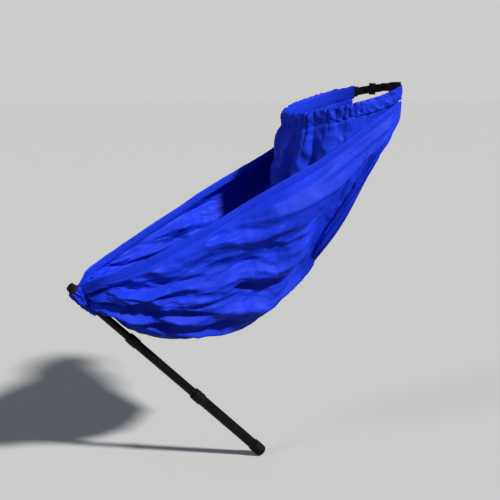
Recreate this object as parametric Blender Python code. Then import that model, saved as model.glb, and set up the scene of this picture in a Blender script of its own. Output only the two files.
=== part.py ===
# Hammock-style rope bag for climbing work: a fabric trough whose band wraps a tree trunk and whose
# nose is held out by a three-section telescopic prop pole. Metres; the origin is on the trunk's axis
# at the band's mid height, the nose points to -X and the bag is symmetric about the plane y = 0.
import math

import bmesh
import bpy
from mathutils import Vector

# The trunk that the band is made to go round.
TRUNK_RADIUS = 0.172
BAND_SLOPE = 0.27            # rise of the band per metre along +X
BAND_HEIGHT = 0.042
BAND_DEPTH = 0.008           # radial thickness of the gathered casing
BAND_END_DEG = 132           # angle from the nose direction where the casing ends
ELASTIC_HEIGHT = 0.032
WEBBING_WIDTH = 0.025
WEBBING_THICK = 0.0018
STRAP_STANDOFF = 0.0040       # from the trunk to the middle of the rear straps
BUCKLE_X = 0.1765            # plane that the buckle's inner face lies in
BUCKLE_SIZE = (0.010, 0.036, 0.032)

# The bag.
FABRIC_THICK = 0.002
CASING_WALL = 0.0010
SKIN_RADIUS = 0.1790         # outer face of a side panel where it lies against the trunk
BACK_BULGE = 0.046           # how far the back panel stands off the trunk
SEAM_RISE = 0.010            # the back panel ends this far above the side panels' lower edge
SIDE_FLARE = 0.040           # how far the side panels belly out past the mouth
HEM_HEIGHT = 0.024
HEM_DEPTH = 0.006
PIPING_WIDTH = 0.006
PIPING_DEPTH = 0.003
SEWN_GAP = 0.0006            # between solids that are sewn together
LENGTH_GAP = 0.0015          # between the lengths that a side panel is made in

# Stations along one side of the bag, nose to band end: the middle of the hem, then the point of the
# lower edge under it. Past the trunk's front the lower edge is given as an angle round the trunk.
HEM_LINE = [
    (-0.826, 0.018, -0.494), (-0.785, 0.070, -0.470), (-0.720, 0.106, -0.443), (-0.620, 0.134, -0.393),
    (-0.500, 0.152, -0.332), (-0.380, 0.162, -0.267), (-0.270, 0.168, -0.213), (-0.185, 0.171, -0.172),
    (-0.110, 0.177, -0.127), (-0.030, 0.181, -0.077), (0.045, 0.176, -0.033), (0.088, 0.158, -0.012),
    (0.117, 0.138, -0.004),
]
KEEL_LINE = [
    (-0.774, -0.550), (-0.733, -0.590), (-0.670, -0.636), (-0.590, -0.667), (-0.490, -0.674),
    (-0.380, -0.656), (-0.280, -0.621),
]
REAR_SEAM = [(4, -0.562), (30, -0.472), (60, -0.345), (90, -0.172), (112, -0.086), (130, -0.042)]

# The prop pole, measured down its own axis from its top end.
POLE_TOP = (-0.863, 0, -0.491)
POLE_LEAN_DEG = 45.4         # from the vertical
HINGE_DOWN = 0.030           # the tie that the pole swings about
CUFF_START = 0.022
CUFF_END = 0.104
UPPER_END = 0.330
MIDDLE_START = 0.240
MIDDLE_END = 0.590
LOWER_START = 0.518
LOWER_END = 0.806
POLE_END = 0.830
UPPER_RADIUS = 0.011
MIDDLE_RADIUS = 0.013
LOWER_RADIUS = 0.0155
TUBE_WALL = 0.0012
COLLAR_LENGTH = 0.036
COLLAR_WALL = 0.0022
RUNNING_GAP = 0.0004
ROUND_SIDES = 24
SIDE_GRID = (32, 10)         # faces along and down a side panel; the hems share the first
SIDE_LENGTHS = (("nose", 0, 10), ("middle", 10, 20), ("trunk", 20, 32))    # its columns, in three solids
BACK_GRID = (28, 10)
BAND_GRID = (40, 8)          # faces round the trunk and round the casing's section

BLUE = (0.017, 0.050, 0.760)
DARK_BLUE = (0.006, 0.020, 0.300)
BLACK = (0.012, 0.012, 0.013)
NEAR_BLACK = (0.022, 0.022, 0.024)


def clear_scene():
    for item in list(bpy.data.objects):
        bpy.data.objects.remove(item, do_unlink=True)


def material(name, colour, roughness, metallic=0.0):
    made = bpy.data.materials.new(name)
    made.use_nodes = True
    shader = made.node_tree.nodes["Principled BSDF"]
    shader.inputs["Base Color"].default_value = (*colour, 1)
    shader.inputs["Roughness"].default_value = roughness
    shader.inputs["Metallic"].default_value = metallic
    return made


def add_object(name, mesh, look, parent=None, place=(0, 0, 0), smooth=True):
    bmesh.ops.recalc_face_normals(mesh, faces=mesh.faces)
    data = bpy.data.meshes.new(name)
    mesh.to_mesh(data)
    mesh.free()
    if smooth:
        data.shade_smooth()
        data.set_sharp_from_angle(angle=math.radians(35))
    made = bpy.data.objects.new(name, data)
    bpy.context.collection.objects.link(made)
    made.data.materials.append(look)
    made.location = place
    made.parent = parent
    return made


def along(points, fraction):
    """Point on the smooth curve through a list of points, at 0 to 1 of the list."""
    place = min(max(fraction, 0), 1) * (len(points) - 1)
    index = min(int(place), len(points) - 2)
    t = place - index
    before, start, end, after = (
        Vector(points[min(max(index + step, 0), len(points) - 1)]) for step in (-1, 0, 1, 2)
    )
    lead = (end - before) / 2
    tail = (after - start) / 2
    return (
        start * (2 * t**3 - 3 * t**2 + 1) + lead * (t**3 - 2 * t**2 + t)
        + end * (3 * t**2 - 2 * t**3) + tail * (t**3 - t**2)
    )


def smooth_step(low, high, value):
    t = min(max((value - low) / (high - low), 0), 1)
    return t * t * (3 - 2 * t)


def sheet(name, across, down, surface, thick, look, wrap=False, parent=None):
    """A sewn skin on surface(u, v), thickened inwards: u runs to the right and v down, seen from outside."""
    mesh = bmesh.new()
    bmesh.ops.create_grid(mesh, x_segments=across, y_segments=down, size=0.5)
    for vert in mesh.verts:
        vert.co = surface(vert.co.x + 0.5, 0.5 - vert.co.y)
    if wrap:
        bmesh.ops.remove_doubles(mesh, verts=mesh.verts, dist=0.00001)
    data = bpy.data.meshes.new(name)
    mesh.to_mesh(data)
    mesh.free()
    data.shade_smooth()
    data.set_sharp_from_angle(angle=math.radians(50))
    made = bpy.data.objects.new(name, data)
    bpy.context.collection.objects.link(made)
    made.data.materials.append(look)
    made.parent = parent
    skin = made.modifiers.new("thickness", "SOLIDIFY")
    skin.thickness = thick
    skin.offset = -1
    skin.use_even_offset = True
    return made


def turned(name, profile, look, parent=None, place=(0, 0, 0)):
    """A round piece: a closed profile of (radius, depth) points spun about the axis it lies along."""
    mesh = bmesh.new()
    verts = [mesh.verts.new((radius, 0, -depth)) for radius, depth in profile]
    edges = [mesh.edges.new(pair) for pair in zip(verts, verts[1:])]
    if profile[0][0] > 0:
        edges.append(mesh.edges.new((verts[-1], verts[0])))
    bmesh.ops.spin(
        mesh, geom=verts + edges, cent=(0, 0, 0), axis=(0, 0, 1), angle=math.tau,
        steps=ROUND_SIDES, use_merge=True,
    )
    bmesh.ops.remove_doubles(mesh, verts=mesh.verts, dist=0.00001)
    return add_object(name, mesh, look, parent, place)


def block(name, size, place, look, chamfer=0.0, parent=None):
    mesh = bmesh.new()
    bmesh.ops.create_cube(mesh, size=1)
    bmesh.ops.scale(mesh, vec=size, verts=mesh.verts)
    if chamfer:
        bmesh.ops.bevel(
            mesh, geom=mesh.edges, offset=chamfer, segments=2, affect="EDGES", profile=0.5, material=-1
        )
    return add_object(name, mesh, look, parent, place)


# The bag's skins

def lower_edge(fraction, side):
    """The keel line, then the seam that climbs round the trunk."""
    points = [(x, 0, z) for x, z in KEEL_LINE]
    for angle, height in REAR_SEAM:
        turn = math.radians(angle)
        points.append((-SKIN_RADIUS * math.cos(turn), SKIN_RADIUS * math.sin(turn), height))
    point = along(points, fraction)
    point.y = max(point.y, PIPING_WIDTH / 2 + SEWN_GAP) * side
    return point


def hem_middle(fraction, side):
    point = along(HEM_LINE, fraction)
    point.y *= side
    return point


def side_surface(fraction, t, side):
    """A side panel: a quarter-round section from the hem to the lower edge, bellied near the hem."""
    top = hem_middle(fraction, side) - Vector((0, 0, HEM_HEIGHT / 2 + SEWN_GAP))
    bottom = lower_edge(fraction, side)
    full = smooth_step(0.0, 0.14, fraction) * (1 - smooth_step(0.50, 0.74, fraction))
    turn = t * math.pi / 2
    drop = t + (math.sin(turn) - t) * full
    width = 1 - t + (math.cos(turn) - 1 + t) * full
    point = top.lerp(bottom, t)
    point.z = top.z + (bottom.z - top.z) * drop
    point.y = bottom.y + (top.y - bottom.y) * width
    point.y += side * SIDE_FLARE * full * math.sin(math.pi * t**0.5)
    reach = math.hypot(point.x, point.y)
    if reach < SKIN_RADIUS:
        point.x *= SKIN_RADIUS / reach
        point.y *= SKIN_RADIUS / reach
    return point


def side_panel(label, side, look):
    """One side of the bag, in three lengths so that each is a simple curved plate."""
    across, down = SIDE_GRID
    seam = LENGTH_GAP / (hem_middle(1, side) - hem_middle(0, side)).length
    for length, first, last in SIDE_LENGTHS:
        start = first / across + seam / 2
        share = (last - first) / across - seam

        def surface(u, v, start=start, share=share):
            return side_surface(start + share * (1 - u if side > 0 else u), v, side)
        sheet(f"{label}_side_{length}", last - first, down, surface, FABRIC_THICK, look)


def keel_binding(look):
    """Piping over the seam that joins the side panels under the bag."""
    last = (len(KEEL_LINE) - 0.6) / (len(KEEL_LINE) + len(REAR_SEAM) - 1)

    def surface(u, v):
        point = lower_edge(u * last, 1)
        point.y = (v - 0.5) * PIPING_WIDTH
        point.z -= 0.001
        return point
    return sheet("keel_seam_binding", 24, 1, surface, PIPING_DEPTH, look)


def round_trunk(angle, radius, height):
    """Point on the band's tilted plane, or so far above it, at an angle from the nose direction."""
    x = -radius * math.cos(angle)
    return Vector((x, radius * math.sin(angle), BAND_SLOPE * x + height))


def seam_height(angle):
    """Height of the rear seam at an angle round the trunk."""
    degrees = abs(math.degrees(angle))
    heights = [(-4, -0.562), *REAR_SEAM]
    for (low, low_z), (high, high_z) in zip(heights, heights[1:]):
        if degrees <= high:
            return low_z + (high_z - low_z) * (degrees - low) / (high - low)
    return heights[-1][1]


def back_panel(look):
    """The wall between the bag and the trunk, hung from the band and bellied towards the nose."""
    edge = math.radians(REAR_SEAM[-1][0])
    inner = TRUNK_RADIUS + 0.0006 + FABRIC_THICK

    def surface(u, v):
        angle = edge * (1 - 2 * u)
        belly = BACK_BULGE * max(math.cos(angle), 0) ** 3 * math.sin(math.pi * v**0.85) ** 1.4
        point = round_trunk(angle, inner + belly, 0)
        top = round_trunk(angle, inner + BAND_DEPTH, -BAND_HEIGHT / 2 - SEWN_GAP).z - 0.001
        point.z = top + (seam_height(angle) + SEAM_RISE - top) * v
        return point
    return sheet("back_panel", *BACK_GRID, surface, FABRIC_THICK, look)


def sleeve(name, count, sides, middle, out, up, depth, height, wall, look):
    """A flat tube of fabric along a curve, open at both ends."""
    corner = 0.3

    def surface(u, v):
        turn = math.tau * v
        across = math.copysign(abs(math.cos(turn)) ** corner, math.cos(turn)) * depth / 2
        rise = math.copysign(abs(math.sin(turn)) ** corner, math.sin(turn)) * height / 2
        return middle(u) + out(u) * across - up * rise
    return sheet(name, count, sides, surface, wall, look, wrap=True)


def strip(name, count, middle, out, up, width, thick, look, parent=None):
    """A length of flat webbing along a curve, its outer face half its thickness off the middle."""
    def surface(u, v):
        return middle(u) + out(u) * thick / 2 + up * width * (0.5 - v)
    return sheet(name, count, 1, surface, thick, look, parent=parent)


def away_from_trunk(point):
    return Vector((point.x, point.y, 0)).normalized()


def hem(label, side, fabric, webbing):
    """The mouth's edge: a fabric casing with a webbing inside it that carries the load."""
    def middle(u):
        return hem_middle(1 - u if side > 0 else u, side)

    def out(u):
        ahead = middle(min(u + 0.01, 1)) - middle(max(u - 0.01, 0))
        return ahead.cross(Vector((0, 0, 1))).normalized()
    up = Vector((0, 0, 1))
    count = SIDE_GRID[0]
    sleeve(f"{label}_hem_casing", count, 8, middle, out, up, HEM_DEPTH, HEM_HEIGHT, CASING_WALL, fabric)
    strip(f"{label}_hem_webbing", count, middle, out, up, HEM_HEIGHT - 0.007, WEBBING_THICK, webbing)


def trunk_band(fabric, elastic):
    """The gathered casing round the trunk and the flat elastic that runs in it."""
    end = math.radians(BAND_END_DEG)
    radius = TRUNK_RADIUS + 0.0006 + BAND_DEPTH / 2
    elastic_end = math.radians(BAND_END_DEG + 4)
    up = Vector((0, 0, 1))
    sleeve(
        "trunk_band_casing", *BAND_GRID, lambda u: round_trunk(end * (1 - 2 * u), radius, 0),
        lambda u: away_from_trunk(round_trunk(end * (1 - 2 * u), 1, 0)), up,
        BAND_DEPTH, BAND_HEIGHT, CASING_WALL, fabric,
    )
    strip(
        "trunk_band_elastic", BAND_GRID[0], lambda u: round_trunk(elastic_end * (1 - 2 * u), radius, 0),
        lambda u: away_from_trunk(round_trunk(elastic_end * (1 - 2 * u), 1, 0)), up,
        ELASTIC_HEIGHT, 0.002, elastic,
    )


# The strap and buckle behind the trunk

def rear_strap(name, start_deg, end_deg, look):
    radius = TRUNK_RADIUS + STRAP_STANDOFF
    start = math.radians(start_deg)
    span = math.radians(end_deg) - start
    return strip(
        name, 10, lambda u: round_trunk(start + span * u, radius, 0),
        lambda u: away_from_trunk(round_trunk(start + span * u, 1, 0)), Vector((0, 0, 1)),
        WEBBING_WIDTH, WEBBING_THICK, look,
    )


def strap_slider(look):
    """The frame that sets the far strap's length, round the webbing."""
    angle = math.radians(152)
    mesh = bmesh.new()
    bmesh.ops.create_cube(mesh, size=1)
    bmesh.ops.scale(mesh, vec=(0.0074, 0.020, 0.036), verts=mesh.verts)
    ends = [face for face in mesh.faces if abs(face.normal.y) > 0.9]
    rims = bmesh.ops.inset_individual(mesh, faces=ends, thickness=0.0018)["faces"]
    inner = [face for face in mesh.faces if abs(face.normal.y) > 0.9 and face not in rims]
    bmesh.ops.bridge_loops(mesh, edges=[edge for face in inner for edge in face.edges])
    bmesh.ops.delete(mesh, geom=inner, context="FACES_ONLY")
    made = add_object("strap_slider", mesh, look, smooth=False)
    made.location = round_trunk(angle, TRUNK_RADIUS + STRAP_STANDOFF, 0)
    made.rotation_euler = (0, 0, math.pi - angle)
    return made


def buckle_socket(look):
    """A flat box with one open end for the plug."""
    depth, length, height = BUCKLE_SIZE
    mesh = bmesh.new()
    bmesh.ops.create_cube(mesh, size=1)
    bmesh.ops.scale(mesh, vec=BUCKLE_SIZE, verts=mesh.verts)
    mouth = [face for face in mesh.faces if face.normal.y > 0.9]
    bmesh.ops.inset_region(mesh, faces=mouth, thickness=0.0018, use_even_offset=True)
    pushed = bmesh.ops.extrude_discrete_faces(mesh, faces=mouth)["faces"]
    floor = [vert for face in pushed for vert in face.verts]
    bmesh.ops.translate(mesh, vec=(0, -length * 0.82, 0), verts=floor)
    place = (BUCKLE_X + depth / 2, -length / 2 + 0.003, BAND_SLOPE * BUCKLE_X)
    return add_object("buckle_socket", mesh, look, place=place, smooth=False)


def buckle_plug(look, webbing):
    """The two-pronged plug, with the doubled webbing that is sewn to its bar."""
    depth = BUCKLE_SIZE[0] - 0.0048
    start = 0.0040
    middle_x = BUCKLE_X + BUCKLE_SIZE[0] / 2
    height = BAND_SLOPE * BUCKLE_X
    slide = bpy.data.objects.new("buckle_slide", None)
    bpy.context.collection.objects.link(slide)
    slide.location = (middle_x, start, height)
    outline = [
        (0, -0.0150), (0.020, -0.0150), (0.020, 0.0150), (0, 0.0150), (0, 0.0130), (-0.024, 0.0120),
        (-0.026, 0.0100), (-0.026, 0.0085), (0, 0.0085), (0, 0.0030), (-0.022, 0.0020), (-0.022, -0.0020),
        (0, -0.0030), (0, -0.0085), (-0.026, -0.0085), (-0.026, -0.0100), (-0.024, -0.0120), (0, -0.0130),
    ]
    mesh = bmesh.new()
    face = mesh.faces.new([mesh.verts.new((-depth / 2, y, z)) for y, z in outline])
    moved = bmesh.ops.extrude_face_region(mesh, geom=[face])["geom"]
    verts = [item for item in moved if isinstance(item, bmesh.types.BMVert)]
    bmesh.ops.translate(mesh, vec=(depth, 0, 0), verts=verts)
    add_object("buckle_plug", mesh, look, parent=slide, smooth=False)
    block(
        "plug_webbing", (WEBBING_THICK, 0.046, WEBBING_WIDTH),
        (0, 0.0203 + 0.023, 0), webbing, parent=slide,
    )


# The prop pole. Every piece is turned about the pole's axis; depths run down it from the hinge.

def tube_profile(radius, wall, start, end):
    """Closed outline of a tube, listed down its outside and back up its bore."""
    return [
        (radius, start - HINGE_DOWN), (radius, end - HINGE_DOWN),
        (radius - wall, end - HINGE_DOWN), (radius - wall, start - HINGE_DOWN),
    ]


def pole_frames():
    """Empties on the pole's axis: the hinge, each sliding section and each lock's turning axis."""
    lean = math.radians(POLE_LEAN_DEG)
    down = Vector((math.sin(lean), 0, -math.cos(lean)))
    frames = {}
    for name, parent in (
        ("pole_hinge", None), ("middle_slide", "pole_hinge"), ("lower_slide", "middle_slide"),
        ("upper_lock_turn", "middle_slide"), ("lower_lock_turn", "lower_slide"),
    ):
        frame = bpy.data.objects.new(name, None)
        bpy.context.collection.objects.link(frame)
        frame.parent = frames.get(parent)
        frames[name] = frame
    frames["pole_hinge"].location = Vector(POLE_TOP) + down * HINGE_DOWN
    frames["pole_hinge"].rotation_euler = (0, -lean, 0)
    return frames


def upper_section(parent, paint, plastic, binding, fabric):
    turned("upper_tube", tube_profile(UPPER_RADIUS, TUBE_WALL, 0.0082, UPPER_END), paint, parent)
    top = -HINGE_DOWN
    turned(
        "top_cap",
        [
            (0, top), (0.0105, top), (0.0127, top + 0.0020), (0.0127, top + 0.0078), (0, top + 0.0078),
        ],
        plastic, parent,
    )
    neck_start = top + 0.0082
    gap = UPPER_RADIUS + RUNNING_GAP
    turned(
        "nose_binding",
        [
            (0.0122, neck_start), (0.0128, neck_start + 0.004), (0.0190, neck_start + 0.0132),
            (0.0165, neck_start + 0.0132), (gap, neck_start + 0.0080), (gap, neck_start),
        ],
        binding, parent,
    )
    start = CUFF_START - HINGE_DOWN
    end = CUFF_END - HINGE_DOWN
    turned(
        "nose_cuff",
        [
            (0.0195, start), (0.0192, start + 0.020), (0.0180, start + 0.045), (0.0160, end - 0.006),
            (0.0145, end), (gap, end), (gap, start + 0.006), (0.0150, start),
        ],
        fabric, parent,
    )
    bore = MIDDLE_RADIUS - TUBE_WALL - RUNNING_GAP
    end = UPPER_END - HINGE_DOWN
    plug = UPPER_RADIUS - TUBE_WALL - RUNNING_GAP
    turned(
        "upper_guide_bush",
        [
            (plug, end - 0.016), (plug, end + 0.0004), (bore, end + 0.0004), (bore, end + 0.014),
            (0.006, end + 0.014), (0.006, end - 0.016),
        ],
        plastic, parent,
    )


def lock_profile(tube_radius, inner_radius, start):
    """A twist-lock collar: it covers the tube's mouth, with a lip that necks down to the inner tube."""
    outer = tube_radius + COLLAR_WALL
    bore = tube_radius + RUNNING_GAP
    lip = inner_radius + 0.0008
    top = start - HINGE_DOWN - 0.0060
    end = top + COLLAR_LENGTH
    return [
        (outer - 0.0012, top), (outer, top + 0.0015), (outer, end - 0.0060), (outer + 0.0012, end - 0.0045),
        (outer + 0.0012, end - 0.0015), (outer, end), (bore, end), (bore, top + 0.0056), (lip, top + 0.0056),
        (lip, top),
    ]


def middle_section(parent, lock_parent, paint, plastic):
    turned("middle_tube", tube_profile(MIDDLE_RADIUS, TUBE_WALL, MIDDLE_START, MIDDLE_END), paint, parent)
    turned("upper_lock_collar", lock_profile(MIDDLE_RADIUS, UPPER_RADIUS, MIDDLE_START), plastic, lock_parent)
    bore = LOWER_RADIUS - TUBE_WALL - RUNNING_GAP
    end = MIDDLE_END - HINGE_DOWN
    plug = MIDDLE_RADIUS - TUBE_WALL - RUNNING_GAP
    turned(
        "lower_guide_bush",
        [
            (plug, end - 0.016), (plug, end + 0.0004), (bore, end + 0.0004), (bore, end + 0.014),
            (0.007, end + 0.014), (0.007, end - 0.016),
        ],
        plastic, parent,
    )


def lower_section(parent, lock_parent, paint, plastic, rubber):
    turned("lower_tube", tube_profile(LOWER_RADIUS, TUBE_WALL, LOWER_START, LOWER_END), paint, parent)
    turned("lower_lock_collar", lock_profile(LOWER_RADIUS, MIDDLE_RADIUS, LOWER_START), plastic, lock_parent)
    end = LOWER_END - HINGE_DOWN
    plug = LOWER_RADIUS - TUBE_WALL - RUNNING_GAP
    turned(
        "foot_plug",
        [(0, end - 0.018), (plug, end - 0.018), (plug, end + 0.0006), (0, end + 0.0006)],
        plastic, parent,
    )
    outside = LOWER_RADIUS + RUNNING_GAP
    tip = POLE_END - HINGE_DOWN
    turned(
        "rubber_foot",
        [
            (0, end + 0.0010), (outside, end + 0.0010), (outside, end - 0.020), (outside + 0.0018, end - 0.020),
            (outside + 0.0026, end - 0.012), (outside + 0.0022, tip - 0.0080), (outside - 0.0005, tip - 0.0020),
            (outside - 0.0040, tip), (0, tip),
        ],
        rubber, parent,
    )


def main():
    clear_scene()
    nylon = material("blue_nylon", BLUE, 0.45)
    seam = material("blue_seam_tape", DARK_BLUE, 0.55)
    webbing = material("black_webbing", NEAR_BLACK, 0.75)
    elastic = material("black_elastic", NEAR_BLACK, 0.80)
    plastic = material("black_plastic", BLACK, 0.40)
    paint = material("black_paint", BLACK, 0.35)
    rubber = material("black_rubber", NEAR_BLACK, 0.80)
    side_panel("near", -1, nylon)
    side_panel("far", 1, nylon)
    keel_binding(seam)
    back_panel(nylon)
    hem("near", -1, nylon, webbing)
    hem("far", 1, nylon, webbing)
    trunk_band(nylon, elastic)
    rear_strap("near_rear_strap", -(BAND_END_DEG + 4.3), -168.5, webbing)
    rear_strap("far_rear_strap", 164, BAND_END_DEG + 4.3, webbing)
    strap_slider(plastic)
    buckle_socket(plastic)
    buckle_plug(plastic, webbing)
    frames = pole_frames()
    upper_section(frames["pole_hinge"], paint, plastic, webbing, nylon)
    middle_section(frames["middle_slide"], frames["upper_lock_turn"], paint, plastic)
    lower_section(frames["lower_slide"], frames["lower_lock_turn"], paint, plastic, rubber)


main()
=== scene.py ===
import math

import bmesh
import bpy
from mathutils import Matrix, Vector, noise


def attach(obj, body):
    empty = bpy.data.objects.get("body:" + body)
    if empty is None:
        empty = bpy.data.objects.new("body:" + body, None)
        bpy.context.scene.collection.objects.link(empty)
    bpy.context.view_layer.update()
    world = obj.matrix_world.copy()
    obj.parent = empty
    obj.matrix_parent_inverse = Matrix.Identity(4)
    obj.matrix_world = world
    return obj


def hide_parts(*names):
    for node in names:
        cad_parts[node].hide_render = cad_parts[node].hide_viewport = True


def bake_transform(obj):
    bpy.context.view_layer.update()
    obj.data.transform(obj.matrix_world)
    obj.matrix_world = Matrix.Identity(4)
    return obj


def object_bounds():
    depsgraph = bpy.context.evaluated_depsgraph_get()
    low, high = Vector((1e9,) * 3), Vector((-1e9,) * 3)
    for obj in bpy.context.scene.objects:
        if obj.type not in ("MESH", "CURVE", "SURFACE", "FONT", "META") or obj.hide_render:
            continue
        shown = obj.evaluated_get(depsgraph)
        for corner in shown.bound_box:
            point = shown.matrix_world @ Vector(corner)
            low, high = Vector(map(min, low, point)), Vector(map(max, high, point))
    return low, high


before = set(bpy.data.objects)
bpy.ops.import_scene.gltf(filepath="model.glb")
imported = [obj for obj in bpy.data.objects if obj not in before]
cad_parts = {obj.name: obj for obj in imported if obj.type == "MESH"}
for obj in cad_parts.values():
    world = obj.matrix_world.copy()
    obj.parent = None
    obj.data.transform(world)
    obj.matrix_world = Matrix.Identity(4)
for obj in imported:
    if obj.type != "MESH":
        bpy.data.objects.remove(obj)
cadLow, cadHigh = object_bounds()
print("frame loaded")

trunk = {
    "radius": 0.172,      # what the band is made to go round
    "slope": 0.27,        # rise of the band per metre towards +X
}
pole = {
    "top": Vector((-0.863, 0, -0.491)),
    "lean": math.radians(45.4),
    "sides": 64,
}
poleDown = Vector((math.sin(pole["lean"]), 0, -math.cos(pole["lean"])))
poleOut = Vector((math.cos(pole["lean"]), 0, math.sin(pole["lean"])))   # square to the pole, towards the bag
upward = Vector((0, 0, 1))
weld = 0.00002            # closes a skin that meets itself


# ---- small helpers

def smoothPath(points, fraction):
    # smooth curve through the points, at 0 to 1 of the list
    place = min(max(fraction, 0), 1) * (len(points) - 1)
    index = min(int(place), len(points) - 2)
    t = place - index
    last = len(points) - 1
    before, start, end, after = (Vector(points[min(max(index + k, 0), last)]) for k in (-1, 0, 1, 2))
    return (start * (2 * t**3 - 3 * t**2 + 1) + (end - before) / 2 * (t**3 - 2 * t**2 + t)
            + end * (3 * t**2 - 2 * t**3) + (after - start) / 2 * (t**3 - t**2))


def ease(low, high, value):
    t = min(max((value - low) / (high - low), 0), 1)
    return t * t * (3 - 2 * t)


def between(pairs, value):
    # straight-line reading of a list of (place, size) pairs
    for (low, lowSize), (high, highSize) in zip(pairs, pairs[1:]):
        if value <= high:
            return lowSize + (highSize - lowSize) * max(value - low, 0) / (high - low)
    return pairs[-1][1]


def ripple(x, y, seed):
    return noise.noise(Vector((x, y, seed)))


def crease(x, y, seed):
    # sharp ridges with round hollows between them, about level on the whole
    return 0.62 - 2.6 * abs(ripple(x, y, seed))


def plates(x, y, seed):
    # straight-edged plates that meet in sharp ridges, about level on the whole
    return 1.9 * noise.voronoi(Vector((x, y, seed)))[0][0] - 1.0


def puff(phase):
    # round lobes with sharp valleys between them, 0 to 1
    return abs(math.sin(phase / 2))


def squared(turn, power):
    # a number from -1 to 1 that stays near its ends, for the flat sides of a casing
    return math.copysign(abs(turn) ** power, turn)


def addPiece(name, mesh, sharp=180):
    data = bpy.data.meshes.new(name)
    mesh.to_mesh(data)
    mesh.free()
    data.shade_smooth()
    if sharp < 180:
        data.set_sharp_from_angle(angle=math.radians(sharp))
    piece = bpy.data.objects.new(name, data)
    bpy.context.collection.objects.link(piece)
    return piece


def clothGrid(name, count, surface, uvSize, relief=None, wrap=False):
    # a woven skin: u runs to the right and v down when it is seen from outside
    mesh = bmesh.new()
    mesh.loops.layers.uv.new("UVMap")
    bmesh.ops.create_grid(mesh, x_segments=count[0], y_segments=count[1], size=0.5, calc_uvs=True)
    uv = mesh.loops.layers.uv.active
    flat = {}
    for face in mesh.faces:
        for loop in face.loops:
            loop[uv].uv = ((loop.vert.co.x + 0.5) * uvSize[0], (0.5 - loop.vert.co.y) * uvSize[1])
    for vert in mesh.verts:
        flat[vert] = (vert.co.x + 0.5, 0.5 - vert.co.y)
        vert.co = surface(*flat[vert])
    if relief:
        mesh.normal_update()
        heights = {vert: relief(*place) for vert, place in flat.items()}
        for vert, height in heights.items():
            vert.co += vert.normal * height
    if wrap:
        bmesh.ops.remove_doubles(mesh, verts=mesh.verts, dist=weld)
    return addPiece(name, mesh)


def softened(mesh, offset, segments=3):
    sharp = [edge for edge in mesh.edges if len(edge.link_faces) == 2 and edge.calc_face_angle(0) > 0.5]
    bmesh.ops.bevel(mesh, geom=sharp, offset=offset, segments=segments, profile=0.5, affect="EDGES",
                    material=-1)


def thicken(piece, amount):
    skin = piece.modifiers.new("cloth thickness", "SOLIDIFY")
    skin.thickness = amount
    skin.offset = -1


def dress(piece, material, body, slotName, *nodes):
    piece.data.materials.clear()
    piece.data.materials.append(material)
    if body:
        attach(piece, body)
    if nodes:
        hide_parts(*nodes)


def stitchRows(name, surface, rows, count, thread, start=0.0, end=1.0):
    # raised stitches on a surface(u, v), each lying along it, in rows at the given v
    one = bmesh.new()
    bmesh.ops.create_uvsphere(one, u_segments=6, v_segments=4, radius=1)
    size = Vector((thread["length"] / 2, thread["width"] / 2, thread["rise"]))
    bmesh.ops.scale(one, vec=size, verts=one.verts)
    corners = [vert.co.copy() for vert in one.verts]
    faces = [[vert.index for vert in face.verts] for face in one.faces]
    one.free()
    mesh = bmesh.new()
    step = 0.0005
    for v in rows:
        for index in range(count):
            u = start + (end - start) * (index + 0.5) / count
            here = surface(u, v)
            ahead = (surface(u + step, v) - here).normalized()
            out = (surface(u, v + step) - here).cross(ahead).normalized()
            turned = Matrix((ahead, out.cross(ahead), out)).transposed()
            verts = [mesh.verts.new(here + turned @ corner) for corner in corners]
            for face in faces:
                mesh.faces.new([verts[corner] for corner in face])
    return addPiece(name, mesh)


# ---- shader groups, each used by several materials

def nodeOf(tree, kind, **values):
    made = tree.nodes.new(kind)
    for key, value in values.items():
        if hasattr(made, key):
            setattr(made, key, value)
        else:
            made.inputs[key.replace("_", " ")].default_value = value
    return made


def newGroup(name, inputs, outputs):
    # takes a vector and the named numbers, gives the named numbers
    tree = bpy.data.node_groups.new(name, "ShaderNodeTree")
    tree.interface.new_socket(name="Vector", in_out="INPUT", socket_type="NodeSocketVector")
    for label in inputs:
        tree.interface.new_socket(name=label, in_out="INPUT", socket_type="NodeSocketFloat")
    for label in outputs:
        tree.interface.new_socket(name=label, in_out="OUTPUT", socket_type="NodeSocketFloat")
    return tree, tree.nodes.new("NodeGroupInput"), tree.nodes.new("NodeGroupOutput")


def scaled(tree, vector, factor):
    made = nodeOf(tree, "ShaderNodeVectorMath", operation="SCALE")
    tree.links.new(vector, made.inputs[0])
    tree.links.new(factor, made.inputs["Scale"])
    return made.outputs["Vector"]


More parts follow.
